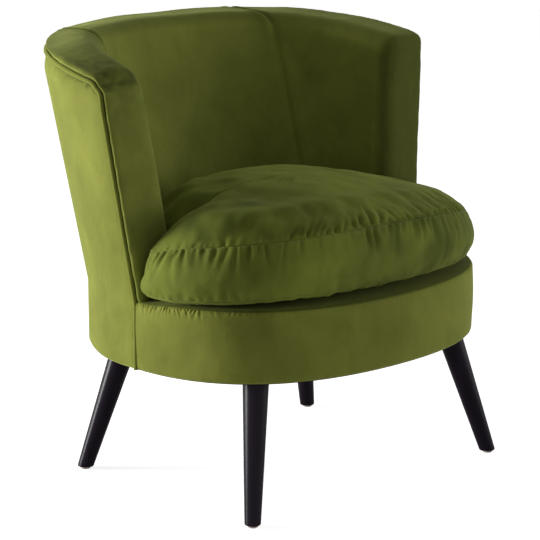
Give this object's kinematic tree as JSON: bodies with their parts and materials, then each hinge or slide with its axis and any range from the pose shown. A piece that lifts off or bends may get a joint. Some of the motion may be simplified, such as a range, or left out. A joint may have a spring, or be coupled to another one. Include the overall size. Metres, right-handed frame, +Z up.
{
  "type": "tub chair",
  "caption": "Round upholstered tub chair with a flared wrap-around back, a loose T-shaped seat cushion, piping along the edges and splayed tapered legs.",
  "frame": {"origin": "on the floor under the middle of the chair's bounding box", "axes": "+Z up, front towards -Y, +X to the left of a person sitting in the chair"},
  "size_m": [0.7756, 0.6805, 0.76],
  "materials": {
    "black_satin": "black satin lacquer",
    "foam": "open-cell upholstery foam",
    "frame_timber": "unfinished birch plywood and hardwood",
    "glide_plastic": "pale nylon",
    "hardboard": "smooth-faced hardboard",
    "slider_metal": "antiqued metal",
    "underside_cloth": "black spun-bonded cloth",
    "velvet": "olive green cut velvet with a soft nap",
    "wadding": "polyester fibre",
    "webbing": "elastic woven webbing",
    "zinc_steel": "zinc plated",
    "zip_tape": "zip tape and teeth in the velvet's colour"
  },
  "bodies": {
    "chair": {"back_foam": "foam", "back_piping": "velvet", "back_rib_1": "frame_timber", "back_rib_2": "frame_timber", "back_rib_3": "frame_timber", "back_rib_4": "frame_timber", "back_rib_5": "frame_timber", "base_board": "hardboard", "base_padding": "foam", "bottom_ring": "frame_timber", "deck_cover": "velvet", "deck_padding": "foam", "front_post_left": "frame_timber", "front_post_right": "frame_timber", "glide_front_left": "glide_plastic", "glide_front_right": "glide_plastic", "glide_rear_left": "glide_plastic", "glide_rear_right": "glide_plastic", "hanger_bolts": "zinc_steel", "inner_back_board": "hardboard", "inside_back_cover_left": "velvet", "inside_back_cover_middle": "velvet", "inside_back_cover_right": "velvet", "leg_block_front_left": "frame_timber", "leg_block_front_right": "frame_timber", "leg_block_rear_left": "frame_timber", "leg_block_rear_right": "frame_timber", "leg_front_left": "black_satin", "leg_front_right": "black_satin", "leg_rear_left": "black_satin", "leg_rear_right": "black_satin", "outer_back_board": "hardboard", "outer_wadding": "wadding", "outside_back_cover": "velvet", "ring_post_1": "frame_timber", "ring_post_2": "frame_timber", "ring_post_3": "frame_timber", "ring_post_4": "frame_timber", "ring_post_5": "frame_timber", "ring_post_6": "frame_timber", "seat_band_cover": "velvet", "tacking_rails": "frame_timber", "tee_nuts": "zinc_steel", "top_rail": "frame_timber", "top_ring": "frame_timber", "underside_cloth": "underside_cloth", "web_strap_crossing_1": "webbing", "web_strap_crossing_2": "webbing", "web_strap_crossing_3": "webbing", "web_strap_running_1": "webbing", "web_strap_running_2": "webbing", "web_strap_running_3": "webbing", "web_strap_running_4": "webbing"},
    "cushion": {"cushion_bottom_panel": "velvet", "cushion_boxing": "velvet", "cushion_foam": "foam", "cushion_top_panel": "velvet", "cushion_wrap": "wadding", "cushion_zip": "zip_tape"},
    "zip_slider": {"zip_slider": "slider_metal"}
  },
  "joints": [
    {"name": "cushion_lift", "type": "slide", "parent": "chair", "child": "cushion", "axis": [0, 0, 1], "range_m": [0, 0.45]},
    {"name": "zip_run", "type": "hinge", "parent": "cushion", "child": "zip_slider", "pos_m": [0, -0.2825, 0], "axis": [0, 0, 1], "range_deg": [0, 27]}
  ]
}
